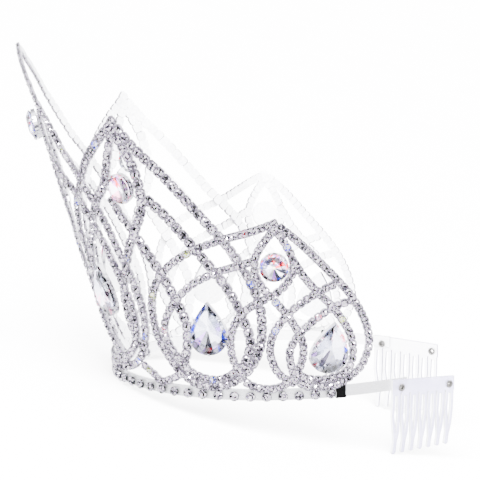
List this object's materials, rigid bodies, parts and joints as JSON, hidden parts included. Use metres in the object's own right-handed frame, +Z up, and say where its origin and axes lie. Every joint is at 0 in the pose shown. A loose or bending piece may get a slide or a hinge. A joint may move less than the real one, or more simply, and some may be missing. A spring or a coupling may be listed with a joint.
{
  "type": "tiara",
  "caption": "Open-backed tiara: a studded metal strip carrying a tall lattice of small-stone chains with set teardrop and round stones, and a hair comb at each end.",
  "frame": {"origin": "on the surface the tiara stands on, under the middle of its length and its width", "axes": "+X to the wearer's right-hand comb as seen from behind the front panel, -Y the way the wearer faces, +Z up"},
  "size_m": [0.1796, 0.2512, 0.1525],
  "materials": {
    "strip": "bright rolled metal, lightly brushed",
    "small_stones": "cut clear glass in bright metal cups",
    "stone_chain": "bright plated cups, each holding a small cut stone",
    "crystal": "cut clear glass with a faint rainbow coating",
    "setting": "bright plated claw cup",
    "thread": "tightly wound black thread",
    "comb": "translucent moulded plastic",
    "eyelet": "plated, rolled edge"
  },
  "bodies": {
    "root": {"band": "strip", "band_studs": "small_stones", "centre_chains": "stone_chain", "crest_drop": "crystal", "crest_drop_setting": "setting", "wrap_left": "thread", "comb_left": "comb", "front_eyelet_left": "eyelet", "rear_eyelet_left": "eyelet", "peak_chains_left": "stone_chain", "loop_chains_left": "stone_chain", "wrap_right": "thread", "comb_right": "comb", "front_eyelet_right": "eyelet", "rear_eyelet_right": "eyelet", "peak_chains_right": "stone_chain", "loop_chains_right": "stone_chain", "front_drop_left": "crystal", "front_drop_left_setting": "setting", "middle_drop_left": "crystal", "middle_drop_left_setting": "setting", "back_drop_left": "crystal", "back_drop_left_setting": "setting", "peak_round_left": "crystal", "peak_round_left_setting": "setting", "loop_round_left": "crystal", "loop_round_left_setting": "setting", "front_drop_right": "crystal", "front_drop_right_setting": "setting", "middle_drop_right": "crystal", "middle_drop_right_setting": "setting", "back_drop_right": "crystal", "back_drop_right_setting": "setting", "peak_round_right": "crystal", "peak_round_right_setting": "setting", "loop_round_right": "crystal", "loop_round_right_setting": "setting"}
  },
  "joints": []
}
